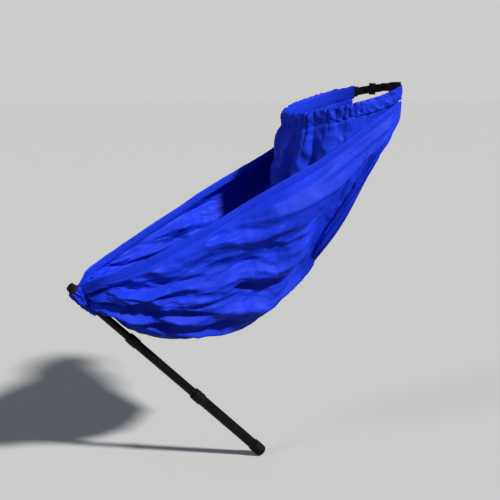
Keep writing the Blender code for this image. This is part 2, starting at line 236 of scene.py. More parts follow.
def weaveGroup():
    # over-and-under threads; Pitch is threads per metre on a map laid out in metres
    tree, inside, outside = newGroup("weave", ("Pitch", "Rip Pitch"), ("Height", "Grid"))
    link = tree.links.new
    placed = scaled(tree, inside.outputs["Vector"], inside.outputs["Pitch"])
    checks = nodeOf(tree, "ShaderNodeTexChecker", Scale=1.0)
    checks.inputs["Color1"].default_value = (1, 1, 1, 1)
    checks.inputs["Color2"].default_value = (0, 0, 0, 1)
    link(placed, checks.inputs["Vector"])
    bulge = nodeOf(tree, "ShaderNodeTexWave", Scale=math.tau / 20, bands_direction="DIAGONAL")
    link(placed, bulge.inputs["Vector"])
    height = nodeOf(tree, "ShaderNodeMath", operation="MULTIPLY_ADD")
    height.inputs[1].default_value = 0.6
    link(checks.outputs["Fac"], height.inputs[0])
    link(bulge.outputs["Fac"], height.inputs[2])
    ripPlaced = scaled(tree, inside.outputs["Vector"], inside.outputs["Rip Pitch"])
    split = nodeOf(tree, "ShaderNodeSeparateXYZ")
    link(ripPlaced, split.inputs["Vector"])
    lines = []
    for axis in ("X", "Y"):
        swing = nodeOf(tree, "ShaderNodeMath", operation="PINGPONG")
        swing.inputs[1].default_value = 0.5
        link(split.outputs[axis], swing.inputs[0])
        line = nodeOf(tree, "ShaderNodeMapRange", From_Min=0.0, From_Max=0.07, To_Min=1.0, To_Max=0.0)
        link(swing.outputs["Value"], line.inputs["Value"])
        lines.append(line.outputs["Result"])
    grid = nodeOf(tree, "ShaderNodeMath", operation="MAXIMUM")
    link(lines[0], grid.inputs[0])
    link(lines[1], grid.inputs[1])
    link(height.outputs["Value"], outside.inputs["Height"])
    link(grid.outputs["Value"], outside.inputs["Grid"])
    return tree


def crinkleGroup():
    # the small sharp creases that a coated cloth keeps after it is stuffed in its sack
    tree, inside, outside = newGroup("crinkle", ("Scale",), ("Height", "Cloud"))
    link = tree.links.new
    ridges = nodeOf(tree, "ShaderNodeTexNoise", noise_type="RIDGED_MULTIFRACTAL", Detail=5.0, Roughness=0.6,
                    Distortion=0.7)
    link(inside.outputs["Vector"], ridges.inputs["Vector"])
    link(inside.outputs["Scale"], ridges.inputs["Scale"])
    cloud = nodeOf(tree, "ShaderNodeTexNoise", Scale=7.0, Detail=5.0, Roughness=0.6)
    link(inside.outputs["Vector"], cloud.inputs["Vector"])
    link(ridges.outputs["Fac"], outside.inputs["Height"])
    link(cloud.outputs["Fac"], outside.inputs["Cloud"])
    return tree


def wearGroup():
    # dust in patches and fine scratches; the vector is stretched along the rubbing before it comes in
    tree, inside, outside = newGroup("wear", ("Scratch Scale", "Amount"), ("Scratches", "Dust"))
    link = tree.links.new
    lines = nodeOf(tree, "ShaderNodeTexNoise", Detail=6.0, Roughness=0.75)
    link(inside.outputs["Vector"], lines.inputs["Vector"])
    link(inside.outputs["Scratch Scale"], lines.inputs["Scale"])
    worn = nodeOf(tree, "ShaderNodeMapRange", From_Min=0.60, From_Max=0.72)
    link(lines.outputs["Fac"], worn.inputs["Value"])
    patches = nodeOf(tree, "ShaderNodeTexNoise", Scale=6.0, Detail=7.0, Roughness=0.7)
    link(inside.outputs["Vector"], patches.inputs["Vector"])
    dusty = nodeOf(tree, "ShaderNodeMapRange", From_Min=0.48, From_Max=0.75)
    link(patches.outputs["Fac"], dusty.inputs["Value"])
    for source, label in ((worn, "Scratches"), (dusty, "Dust")):
        times = nodeOf(tree, "ShaderNodeMath", operation="MULTIPLY")
        link(source.outputs["Result"], times.inputs[0])
        link(inside.outputs["Amount"], times.inputs[1])
        link(times.outputs["Value"], outside.inputs[label])
    return tree


weaveNodes = weaveGroup()
crinkleNodes = crinkleGroup()
wearNodes = wearGroup()


# ---- materials

def newMaterial(name, colour, roughness):
    material = bpy.data.materials.new(name)
    material.use_nodes = True
    shader = material.node_tree.nodes["Principled BSDF"]
    shader.inputs["Base Color"].default_value = (*colour, 1)
    shader.inputs["Roughness"].default_value = roughness
    return material, material.node_tree, shader


def placeGroup(tree, group, vector, **values):
    made = tree.nodes.new("ShaderNodeGroup")
    made.node_tree = group
    tree.links.new(vector, made.inputs["Vector"])
    for key, value in values.items():
        made.inputs[key.replace("_", " ")].default_value = value
    return made


def blended(tree, low, high, mask):
    # a colour that goes from one to the other with a mask
    made = nodeOf(tree, "ShaderNodeMix", data_type="RGBA")
    for socket, value in ((made.inputs[6], low), (made.inputs[7], high)):
        if isinstance(value, tuple):
            socket.default_value = (*value, 1)
        else:
            tree.links.new(value, socket)
    tree.links.new(mask, made.inputs["Factor"])
    return made.outputs[2]


def ranged(tree, value, low, high, fromLow=0.0, fromHigh=1.0):
    made = nodeOf(tree, "ShaderNodeMapRange", From_Min=fromLow, From_Max=fromHigh, To_Min=low, To_Max=high)
    tree.links.new(value, made.inputs["Value"])
    return made.outputs["Result"]


def bumped(tree, height, strength, distance, normal=None):
    made = nodeOf(tree, "ShaderNodeBump", Strength=strength, Distance=distance)
    tree.links.new(height, made.inputs["Height"])
    if normal:
        tree.links.new(normal, made.inputs["Normal"])
    return made.outputs["Normal"]


def clothMaterial(name, look, coords="UV"):
    material, tree, shader = newMaterial(name, look["colour"], look["roughness"][0])
    link = tree.links.new
    place = tree.nodes.new("ShaderNodeTexCoord")
    weave = placeGroup(tree, weaveNodes, place.outputs[coords], Pitch=look["threads"], Rip_Pitch=look["rip"])
    crinkle = placeGroup(tree, crinkleNodes, place.outputs["Object"], Scale=look["crinkleScale"])
    patches = ranged(tree, crinkle.outputs["Cloud"], 0, 0.8, 0.40, 0.70)
    faded = blended(tree, look["colour"], look["shade"], patches)
    gridMask = ranged(tree, weave.outputs["Grid"], 0, look["ripTint"])
    link(blended(tree, faded, look["light"], gridMask), shader.inputs["Base Color"])
    link(ranged(tree, crinkle.outputs["Cloud"], *look["roughness"], 0.35, 0.65), shader.inputs["Roughness"])
    normal = bumped(tree, crinkle.outputs["Height"], look["crinkle"], 0.004)
    normal = bumped(tree, weave.outputs["Grid"], 0.25, 0.0002, normal)
    link(bumped(tree, weave.outputs["Height"], look["threadBump"], 0.0002, normal), shader.inputs["Normal"])
    shader.inputs["Specular IOR Level"].default_value = look["specular"]
    shader.inputs["Sheen Weight"].default_value = look["sheen"]
    shader.inputs["Sheen Roughness"].default_value = 0.35
    shader.inputs["Sheen Tint"].default_value = (*look["light"], 1)
    return material


def hardMaterial(name, look):
    # painted tube, moulded plastic or rubber, worn along the pole
    material, tree, shader = newMaterial(name, look["colour"], look["roughness"][0])
    link = tree.links.new
    place = tree.nodes.new("ShaderNodeTexCoord")
    along = nodeOf(tree, "ShaderNodeMapping")
    along.inputs["Rotation"].default_value = (0, pole["lean"], 0)
    along.inputs["Scale"].default_value = look["stretch"]
    link(place.outputs["Object"], along.inputs["Vector"])
    wear = placeGroup(tree, wearNodes, along.outputs["Vector"], Scratch_Scale=look["scratchScale"],
                      Amount=look["wear"])
    grain = nodeOf(tree, "ShaderNodeTexNoise", Scale=look["grain"], Detail=3.0, Roughness=0.6)
    link(place.outputs["Object"], grain.inputs["Vector"])
    rubbed = blended(tree, look["colour"], look["bare"], wear.outputs["Scratches"])
    link(blended(tree, rubbed, look["dust"], wear.outputs["Dust"]), shader.inputs["Base Color"])
    link(ranged(tree, wear.outputs["Dust"], *look["roughness"], 0, 0.4), shader.inputs["Roughness"])
    normal = bumped(tree, grain.outputs["Fac"], look["grainBump"], 0.0004)
    link(bumped(tree, wear.outputs["Scratches"], -0.2, 0.0003, normal), shader.inputs["Normal"])
    shader.inputs["Specular IOR Level"].default_value = look["specular"]
    return material


nylonLook = {
    "colour": (0.0085, 0.034, 0.600), "shade": (0.0045, 0.019, 0.400), "light": (0.030, 0.090, 0.820),
    "roughness": (0.46, 0.60), "specular": 0.08, "sheen": 0.0,
    "threads": 1500, "threadBump": 0.18, "rip": 180, "ripTint": 0.16,     # per metre
    "crinkleScale": 30, "crinkle": 0.30,
}
webbingLook = {
    "colour": (0.0040, 0.0040, 0.0046), "shade": (0.0075, 0.0075, 0.0080), "light": (0.024, 0.024, 0.026),
    "roughness": (0.70, 0.85), "specular": 0.12, "sheen": 0.02,
    "threads": 700, "threadBump": 0.9, "rip": 350, "ripTint": 0.35,
    "crinkleScale": 60, "crinkle": 0.10,
}
threadLook = {
    "colour": (0.008, 0.030, 0.480), "shade": (0.006, 0.020, 0.330), "light": (0.050, 0.120, 0.800),
    "roughness": (0.45, 0.60), "specular": 0.40, "sheen": 0.10,
    "threads": 2500, "threadBump": 0.4, "rip": 900, "ripTint": 0.2,
    "crinkleScale": 90, "crinkle": 0.20,
}
paintLook = {
    "colour": (0.0020, 0.0020, 0.0023), "bare": (0.030, 0.030, 0.031), "dust": (0.0070, 0.0066, 0.0060),
    "roughness": (0.34, 0.52), "specular": 0.12, "stretch": (1.0, 1.0, 0.06), "scratchScale": 260,
    "wear": 0.34, "grain": 1500, "grainBump": 0.16,
}
plasticLook = {
    "colour": (0.0026, 0.0026, 0.0030), "bare": (0.020, 0.020, 0.021), "dust": (0.0080, 0.0075, 0.0070),
    "roughness": (0.42, 0.60), "specular": 0.13, "stretch": (1.0, 1.0, 0.4), "scratchScale": 140,
    "wear": 0.30, "grain": 2600, "grainBump": 0.30,
}
rubberLook = {
    "colour": (0.0050, 0.0049, 0.0048), "bare": (0.016, 0.015, 0.014), "dust": (0.018, 0.015, 0.012),
    "roughness": (0.78, 0.92), "specular": 0.12, "stretch": (1.0, 1.0, 0.8), "scratchScale": 90,
    "wear": 0.55, "grain": 1100, "grainBump": 0.45,
}
tapeLook = {**nylonLook, "colour": (0.0050, 0.018, 0.330), "shade": (0.0030, 0.011, 0.200), "rip": 60}
elasticLook = {**webbingLook, "threads": 420, "rip": 620, "ripTint": 0.55}

sideNylon = clothMaterial("sideNylon", nylonLook)
casingNylon = clothMaterial("casingNylon", {**nylonLook, "crinkle": 0.30, "crinkleScale": 40})
seamTape = clothMaterial("seamTape", tapeLook)
sewingThread = clothMaterial("sewingThread", threadLook)
blackWebbing = clothMaterial("blackWebbing", webbingLook)
objectElastic = clothMaterial("objectElastic", elasticLook, "Object")      # its piece has no map
blackPaint = hardMaterial("blackPaint", paintLook)
mouldedPlastic = hardMaterial("mouldedPlastic", plasticLook)
footRubber = hardMaterial("footRubber", rubberLook)
print("materials made")


# ---- the bag's shape

bag = {
    "hemDrop": 0.024 * 0.42,      # the side is sewn on this far under the hem's middle
    "flare": 0.015,       # how far the sides belly out past the mouth
    "skin": 0.1790,       # outer face of a side where it lies on the trunk
    "tuck": 0.0136,       # how near the pole's axis the gathered end is pulled, inside the cuff
    "tucked": (0.0, 0.060),       # from the cuff to where the mouth opens, as shares of the side's length
    "apart": (0.555, 0.590),      # both sides share the seam under the bag up to the trunk
    "seamHalf": 0.0012,   # half the thickness of the seam under the bag
}
hemLine = [
    (-0.826, 0.018, -0.494), (-0.785, 0.070, -0.470), (-0.720, 0.106, -0.443), (-0.620, 0.134, -0.393),
    (-0.500, 0.152, -0.332), (-0.380, 0.162, -0.267), (-0.270, 0.168, -0.213), (-0.185, 0.171, -0.172),
    (-0.110, 0.177, -0.127), (-0.030, 0.181, -0.077), (0.045, 0.176, -0.033), (0.088, 0.158, -0.012),
    (0.117, 0.138, -0.004),
]
keelLine = [
    (-0.774, -0.550), (-0.733, -0.590), (-0.670, -0.636), (-0.590, -0.667), (-0.490, -0.674),
    (-0.380, -0.656), (-0.280, -0.621),
]
rearSeam = [(4, -0.562), (30, -0.472), (60, -0.345), (90, -0.172), (112, -0.086), (130, -0.042)]
lowerLine = [(x, 0, z) for x, z in keelLine]
for degrees, height in rearSeam:
    turn = math.radians(degrees)
    lowerLine.append((-bag["skin"] * math.cos(turn), bag["skin"] * math.sin(turn), height))


def tucked(point, u):
    # the nose is drawn in round the pole
    axis = pole["top"] + poleDown * (point - pole["top"]).dot(poleDown)
    offset = point - axis
    amount = 1 - ease(*bag["tucked"], u)
    return axis + offset * (1 - amount + amount * min(bag["tuck"] / offset.length, 1))


def hemPoint(u, side):
    point = smoothPath(hemLine, u)
    point.y *= side
    return tucked(point, u)


def lowerPoint(u, side):
    point = smoothPath(lowerLine, u)
    apart = ease(*bag["apart"], u)
    half = bag["seamHalf"]
    point.y = (half + (max(point.y, half) - half) * apart) * side
    return point


def sidePoint(u, t, side):
    # from the hem at t = 0 to the seam at t = 1, round in the loose part and flat on the trunk
    top = smoothPath(hemLine, u) - upward * bag["hemDrop"]
    top.y *= side
    low = lowerPoint(u, side)
    full = ease(0.0, 0.14, u) * (1 - ease(0.50, 0.74, u))
    turn = t * math.pi / 2
    drop = t + (math.sin(turn) - t) * full
    width = 1 - t + (math.cos(turn) - 1 + t) * full
    point = top.lerp(low, t)
    point.z = top.z + (low.z - top.z) * drop
    point.y = low.y + (top.y - low.y) * width
    point.y += side * bag["flare"] * full * math.sin(math.pi * math.sqrt(t))
    reach = math.hypot(point.x, point.y)
    if reach < bag["skin"]:
        point.x *= bag["skin"] / reach
        point.y *= bag["skin"] / reach
    return tucked(point, u)


tension = {
    # along the side, down the side
    "line": [(0.34, 0.02), (0.42, 0.07), (0.50, 0.11), (0.58, 0.13), (0.62, 0.16), (0.70, 0.26), (0.78, 0.36),
             (0.82, 0.50), (0.90, 0.79), (0.95, 1.0)],
    "height": 0.036,
    "falloff": (0.03, 0.22),      # a sharp fold, then a long hang
}


def tensionRidge(u, t):
    # the strip pulled tight to the trunk runs out to a crest, and the slack part hangs under it
    crest = between(tension["line"], u)
    fade = ease(0.34, 0.47, u) * (1 - 0.62 * ease(0.66, 0.84, u)) * (1 - 0.7 * ease(0.84, 0.96, u))
    under = max(t - crest, 0)
    hang = 0.35 * math.exp(-under / tension["falloff"][0]) + 0.65 * math.exp(-under / tension["falloff"][1])
    return tension["height"] * fade * (t / crest if t < crest else hang)


def slackness(u, t):
    # 0 on the taut strip over the crest, 1 on the slack part
    under = t - between(tension["line"], u)
    taut = ease(0.40, 0.54, u) * (1 - ease(0.0, 0.11, under))
    return (1 - 0.96 * taut) * (1 - 0.55 * ease(0.74, 0.86, u))


noseFolds = [   # place down the side at the nose, drift, width, height in metres, reach along the side
    (0.06, 0.05, 0.020, 0.010, 0.20), (0.15, 0.10, 0.020, -0.013, 0.26), (0.24, 0.16, 0.022, 0.016, 0.44),
    (0.34, 0.10, 0.020, -0.014, 0.28), (0.44, 0.24, 0.024, 0.016, 0.50), (0.55, 0.14, 0.020, -0.015, 0.34),
    (0.64, 0.26, 0.024, 0.016, 0.42), (0.75, 0.12, 0.020, -0.012, 0.30), (0.86, 0.08, 0.020, 0.011, 0.34),
]
slackCreases = [   # plates per metre along and down, their slants, height in metres
    (2.2, 12, 1.5, -3.0, 0.0330), (5.0, 12, 7.0, -6.0, 0.0220), (5.5, 25, 3.0, -8.0, 0.0170),
    (13, 46, 10.0, -15.0, 0.0080), (40, 100, 20.0, -22.0, 0.0020),
]
pinches = [     # place along, place down as a share of the strip, height, length, width
    (0.80, 0.45, 0.0055, 0.08, 0.04), (0.70, 0.60, -0.0050, 0.07, 0.04), (0.90, 0.30, 0.0045, 0.06, 0.04),
    (0.94, 0.60, -0.0050, 0.05, 0.05), (0.60, 0.40, 0.0040, 0.06, 0.05), (0.74, 0.25, -0.0040, 0.05, 0.03),
]


panel = {
    "length": 1.18, "depth": 0.45,      # along the hem, and from the hem down to the seam
    "count": (360, 150), "map": (1.18, 0.50), "thickness": 0.0008, "tallest": 0.040,
}


def sideFolds(u, v, seed):
    total = 0
    for index, (place, drift, width, height, length) in enumerate(noseFolds):
        centre = place + drift * u + 0.05 * ripple(u * 6, index * 3.1, seed)
        spread = width * (1 + 2.0 * u)
        total += (height * math.exp(-abs(v - centre) / spread) * math.exp(-(u / length) ** 2 * 1.4)
                  * ease(0, 0.07, u))
    along = u * panel["length"] + 0.030 * ripple(u * 6, v * 3, seed + 40)
    down = v * panel["depth"] + 0.020 * ripple(u * 8, v * 3, seed + 50)
    slack = slackness(u, v)
    calm = 1 - 0.68 * ease(0.55, 0.82, v)      # smaller plates fade where the side turns under
    for index, (perAlong, perDown, slantDown, slantAlong, height) in enumerate(slackCreases):
        x = along * perAlong + down * slantDown
        y = down * perDown + along * slantAlong
        total += height * slack * (calm if index else 1) * plates(x, y, seed + index * 7.3)
    strip = v / between(tension["line"], u)
    for place, share, height, length, width in pinches:
        here = math.exp(-((u - place) / length) ** 2 - abs(strip - share) / width / 3)
        total += height * here * ease(0.5, 0.6, u)
    # under the nose it is pulled nearly smooth, and a little in
    total *= 1 - 0.6 * (1 - ease(0.05, 0.34, u)) * ease(0.40, 0.70, v)
    total -= 0.006 * (1 - ease(0.08, 0.30, u)) * ease(0.45, 0.80, v)
    return total + tensionRidge(u, v)


def alongPole(piece):
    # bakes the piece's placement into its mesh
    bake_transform(piece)


def sidePanel(name, node, side, seed):
    def flip(u):
        return 1 - u if side > 0 else u

    def relief(u, v):
        u = flip(u)
        # flat along the four edges, with a small step under the hem
        sewn = ease(0, 0.05, v) * ease(0, 0.15, 1 - v) * ease(0, 0.05, u) * ease(0, 0.14, 1 - u)
        height = sideFolds(u, v, seed) * sewn + 0.0014 * ease(0, 0.012, v) * ease(0.05, 0.10, u)
        onTrunk = ease(0.55, 0.66, u)
        return min(height, panel["tallest"]) if height > 0 else height * (1 - 0.96 * onTrunk)

    piece = clothGrid(name, panel["count"], lambda u, v: sidePoint(flip(u), v, side), panel["map"], relief)
    thicken(piece, panel["thickness"])
    dress(piece, sideNylon, None, "blue_nylon", f"{node}_nose", f"{node}_middle", f"{node}_trunk")
    alongPole(piece)


sidePanel("nearSide", "near_side", -1, 2.0)
sidePanel("farSide", "far_side", 1, 7.5)
print("side panels folded")


# ---- flat tubes of cloth or webbing along a path

def ribbonSurface(middle, size, swell=None):
    # v goes round the section, starting in the middle of the outer face and down
    def surface(u, v):
        ahead = (middle(min(u + 0.003, 1)) - middle(max(u - 0.003, 0))).normalized()
        out = ahead.cross(upward).normalized()
        turn = math.tau * v
        across = squared(math.cos(turn), 0.5)
        rise = squared(math.sin(turn), 0.6)
        extra, sway = swell(u, across, rise) if swell else (0, 0)
        return middle(u) + out * across * (size[0] / 2 + extra) - upward * (rise * size[1] / 2 + sway)
    return surface


def ribbon(name, count, middle, size, length, swell=None):
    return clothGrid(name, count, ribbonSurface(middle, size, swell), (length, (size[0] + size[1]) * 2),
                     wrap=True)


# ---- mouth hems: a casing round webbing, with a row of stitches along each edge of it on both faces

hem = {
    "size": (0.0034, 0.024), "length": 1.14, "thickness": 0.0006, "count": (460, 36),
    "webbing": (0.0012, 0.0165), "webbingCount": (120, 16),
    "rows": (0.130, 0.370, 0.630, 0.870), "sewn": (0.01, 0.985), "stitches": 320,
    "thread": {"length": 0.0027, "width": 0.0008, "rise": 0.00045},
}


def mouthHem(name, node, side, seed):
    def middle(u):
        return hemPoint(1 - u if side > 0 else u, side)

    def swell(u, across, rise):
        furrow = math.exp(-((abs(rise) - 0.82) / 0.09) ** 2)
        gather = puff(300 * u + 9 * ripple(u * 30, 0, seed) + 2.5 * rise) - 0.6
        soft = 0.0010 * ripple(u * 46, rise * 1.4 + across, seed) + 0.0006 * ripple(u * 130, rise * 3, seed)
        atNose = 1 - ease(0.04, 0.22, 1 - u if side > 0 else u)
        soft += 0.0030 * atNose * plates(u * 40 + rise, rise * 1.3 + u * 20, seed)
        return (0.0005 * gather * abs(rise) - 0.0006 * furrow + soft * abs(rise),
                0.0016 * ripple(u * 22, 0, seed + 5) + 0.0006 * gather * rise)

    piece = ribbon(name, hem["count"], middle, hem["size"], hem["length"], swell)
    thicken(piece, hem["thickness"])
    dress(piece, casingNylon, None, "blue_nylon", f"{node}_casing")
    alongPole(piece)
    inside = ribbon(f"{name}Webbing", hem["webbingCount"], middle, hem["webbing"], hem["length"])
    dress(inside, blackWebbing, None, "black_webbing", f"{node}_webbing")
    alongPole(inside)
    sewn = stitchRows(f"{name}Stitches", ribbonSurface(middle, hem["size"], swell), hem["rows"],
                      hem["stitches"], hem["thread"], *hem["sewn"])
    dress(sewn, sewingThread, None, "blue_seam_tape")
    alongPole(sewn)


mouthHem("nearHem", "near_hem", -1, 11.0)
mouthHem("farHem", "far_hem", 1, 17.0)
print("hems sewn")


# ---- tape that binds the seam under the bag and the two seams round the trunk

tape = {"size": (0.0042, 0.0085), "length": 0.7, "drop": 0.0012, "thickness": 0.0006, "count": (260, 20)}


def seamBinding(name, start, end, side, body, *nodes):
    def middle(u):
        point = lowerPoint(start + (end - start) * u, side)
        if not side:
            point.y = 0
        return point - upward * tape["drop"]

    def swell(u, across, rise):
        gather = puff(260 * u + 6 * ripple(u * 20, 0, 3.0)) - 0.6
        furrow = math.exp(-((rise + 0.35) / 0.12) ** 2)
        return 0.0004 * gather - 0.0005 * furrow, 0.0006 * ripple(u * 40, 0, 9.0)

    piece = ribbon(name, tape["count"], middle, tape["size"], tape["length"], swell)
    thicken(piece, tape["thickness"])
    dress(piece, seamTape, body, "blue_seam_tape", *nodes)
    return piece


keelTape = seamBinding("keelTape", 0.012, 0.570, 0, None, "keel_seam_binding")
alongPole(keelTape)
seamBinding("nearRearTape", 0.570, 0.985, -1, "root")
seamBinding("farRearTape", 0.985, 0.570, 1, "root")
print("seams bound")


# ---- trunk band: a casing gathered on flat elastic

band = {
    "height": 0.042, "depth": 0.0070, "gap": 0.0010, "end": math.radians(132), "thickness": 0.0007,
    "pleat": 0.0220, "rise": 0.0115, "frill": 0.0060, "lump": 0.0030, "crush": 0.0050, "sway": 0.0020,
    "map": (1.5, 0.10), "count": (1000, 48),
}


def roundTrunk(angle, radius, height):
    x = -radius * math.cos(angle)
    return Vector((x, radius * math.sin(angle), trunk["slope"] * x + height))


def bandPleats(arc, lean):
    # uneven gathers: phase along the band, slewed by a slow wander and by the height up the casing
    wander = 4.2 * ripple(arc * 13, 0.3, 4.0) + 2.2 * ripple(arc * 41, 0.7, 8.0)
    phase = math.tau * arc / band["pleat"] + 2.4 * wander + lean
    depth = 0.62 + 0.65 * ripple(arc * 30, 2.0, 6.0)
    return puff(phase) ** 0.7 * max(depth, 0.10)


def bandLoose(angle):
    # fully gathered at the far end and in front, pulled smoother towards the near strap
    return 1 - 0.55 * ease(math.radians(-20), math.radians(-95), angle)


def trunkBand():
    base = trunk["radius"] + band["gap"] + band["depth"] / 2

    def surface(u, v):
        angle = band["end"] * (1 - 2 * u)
        arc = angle * base
        turn = math.tau * v
        across = squared(math.cos(turn), 0.5)
        rise = squared(math.sin(turn), 0.6)
        slant = 1.1 * rise * ripple(arc * 20, 0, 2.0) + 0.8 * ripple(arc * 30, rise * 1.5, 3.0)
        pleats = bandPleats(arc, 2.0 * slant) * bandLoose(angle)
        lump = 0.5 + 0.9 * ripple(arc * 24, rise * 0.9, 12.0)
        crush = plates(arc * 48 + rise, rise * 0.8, 14.0) * band["crush"]
        outside = 0.5 + 0.5 * across
        edge = abs(rise) ** 5
        out = across * band["depth"] / 2 * (1 - 0.30 * edge)
        out += outside * (band["rise"] * pleats + band["lump"] * lump + crush)
        wave = band["frill"] * (pleats - 0.35) * edge * (0.8 if rise < 0 else 0.4) * math.copysign(1, rise)
        sway = band["sway"] * ripple(arc * 12, 5.0, 1.0)
        up = rise * band["height"] / 2 * (1 - 0.05 * pleats) + wave + sway
        return roundTrunk(angle, base + out, -up)

    piece = clothGrid("trunkBand", band["count"], surface, band["map"], wrap=True)
    thicken(piece, band["thickness"])
    dress(piece, casingNylon, "root", "blue_nylon", "trunk_band_casing")


trunkBand()
print("trunk band gathered")


# ---- back panel: hangs in deep folds from the band, standing off the trunk

backWall = {
    "gap": 0.0012, "belly": 0.030, "end": math.radians(130), "foot": 0.0050,
    "room": 0.1705,       # how far to the side it may reach, between the mouth's hems
    # deep folds: width and first place along the trunk, depth, and how far they wander on the way down
    "fold": 0.070, "first": 0.039, "depth": 0.034, "drift": 0.020,
    # small folds under the band, and its gathers, fuller where the sides don't hold the panel
    "smallFold": 0.027, "smallDepth": 0.0040, "gather": 0.0030, "openGather": 0.0065, "lip": 0.0050,
    "crumple": 0.0170, "crinkle": 0.0095,
    # where it meets the seam under the bag
    "keelWidth": math.radians(7), "keelOut": 0.016, "keelDrop": 0.008,
    "thickness": 0.0007, "map": (1.2, 0.55), "count": (420, 140),
}


def seamHeight(angle):
    return between([(-4, rearSeam[0][1])] + rearSeam, abs(math.degrees(angle)))


def backPanel():
    inner = trunk["radius"] + backWall["gap"]

    def surface(u, v):
        angle = backWall["end"] * (1 - 2 * u)
        front = max(math.cos(angle), 0)
        arc = angle * inner
        belly = backWall["belly"] * front ** 3 * math.sin(math.pi * v ** 0.85) ** 1.4
        flush = 1 - ease(math.radians(60), math.radians(85), abs(angle))
        gather = backWall["gather"] + backWall["openGather"] * flush
        fine = bandPleats(arc, 0) * math.exp(-v / 0.09) * gather * bandLoose(angle)
        fine += backWall["lip"] * flush * (1 - ease(0.0, 0.4, v))
        drift = backWall["drift"] * ripple(arc * 5, v * 1.8, 21.0) * ease(0, 0.3, v)
        main = puff(math.tau * (-arc - backWall["first"] + drift) / backWall["fold"])
        wander = 5 * ripple(arc * 14, v * 2, 22.0)
        small = puff(math.tau * (arc + 0.6 * drift) / backWall["smallFold"] + wander)
        loose = front + (1 - front) * 0.45 * (1 - ease(0.05, 0.16, v))
        if abs(angle) > math.pi / 2:
            loose *= 0.5
        opened = 0.35 * ease(0.0, 0.05, v) + 0.65 * ease(0.03, 0.30, v)
        depth = backWall["depth"] * main * opened * (1 - 0.72 * ease(0.25, 0.95, v))
        depth += backWall["smallDepth"] * small * ease(0.0, 0.05, v) * (1 - ease(0.10, 0.40, v))
        coarse = plates(arc * 15 + v * 2, v * 2.6 - arc * 4, 25.0)
        crumple = backWall["crumple"] * coarse * ease(0.04, 0.3, v) * front
        crumple += backWall["crinkle"] * plates(arc * 36 + v * 4, v * 9, 26.0) * ease(0.02, 0.1, v) * front
        edge = ease(0, 0.06, 1 - v)
        radius = inner + belly + fine + (max(depth, 0) * loose + max(crumple, -belly)) * edge
        room = backWall["room"] / max(abs(math.sin(angle)), 0.2)
        radius = min(radius, max(room, inner + 0.0045)) + backWall["foot"] * ease(0.90, 1.0, v)
        atKeel = math.exp(-(angle / backWall["keelWidth"]) ** 2) * ease(0.90, 1.0, v)
        radius += backWall["keelOut"] * atKeel
        point = roundTrunk(angle, radius, 0)
        top = roundTrunk(angle, inner, -band["height"] / 2 + 0.004).z
        point.z = top + (seamHeight(angle) + 0.002 - top) * v - backWall["keelDrop"] * atKeel
        return point

    piece = clothGrid("backPanel", backWall["count"], surface, backWall["map"])
    thicken(piece, backWall["thickness"])
    dress(piece, sideNylon, "root", "blue_nylon", "back_panel")


backPanel()
print("back panel hung")


# ---- nose cuff: the bag's end gathered round the pole

cuff = {
    "start": 0.0205, "end": 0.110, "pleats": 13, "depth": 0.0046, "crumple": 0.0036, "crush": 0.0018,
    "frill": 0.0050, "tuckedFrill": 0.0024, "thickness": 0.0007, "map": (0.12, 0.09), "count": (190, 120),
    # radius, share of the way down
    "profile": [(0.0190, 0.0), (0.0205, 0.12), (0.0200, 0.30), (0.0188, 0.50), (0.0172, 0.72), (0.0155, 1.0)],
}


def roundPole(turn, radius, down):
    side = poleOut * math.cos(turn) + Vector((0, 1, 0)) * math.sin(turn)
    return pole["top"] + poleDown * down + side * radius


def noseCuff():
    def surface(u, v):
        turn = math.tau * u
        x, y = math.cos(turn), math.sin(turn)
        radius = smoothPath([(size, 0, 0) for size, _ in cuff["profile"]], v).x
        swirl = cuff["pleats"] * turn + 3.0 * ripple(x * 2, y * 2 + v * 3, 31.0)
        fold = puff(swirl + 2.2 * v) - 0.55
        radius += cuff["depth"] * fold * (0.45 + 0.55 * math.sin(math.pi * min(v * 1.1, 1)))
        radius += (cuff["crumple"] * crease(x * 1.6, y * 1.6 + v * 4.5, 33.0)
                   + cuff["crush"] * plates(x * 5, y * 5 + v * 9, 34.0))
        frill = cuff["frill"] * (puff(swirl) - 0.3) * ease(0.85, 1, v)
        frill -= cuff["tuckedFrill"] * puff(swirl + 1) * ease(0.1, 0, v)
        return roundPole(turn, max(radius, 0.0150 - 0.0026 * ease(0.8, 1, v)),
                         cuff["start"] + (cuff["end"] - cuff["start"]) * v + frill)

    piece = clothGrid("noseCuff", cuff["count"], surface, cuff["map"], wrap=True)
    thicken(piece, cuff["thickness"])
    dress(piece, casingNylon, "upper_section", "blue_nylon", "nose_cuff")


noseCuff()
print("nose cuff gathered")


# ---- pole: pieces turned about its axis, given as (radius, distance down the pole)

poleFrame = Matrix((poleOut, (0, 1, 0), -poleDown)).transposed().to_4x4()
poleFrame.translation = pole["top"]


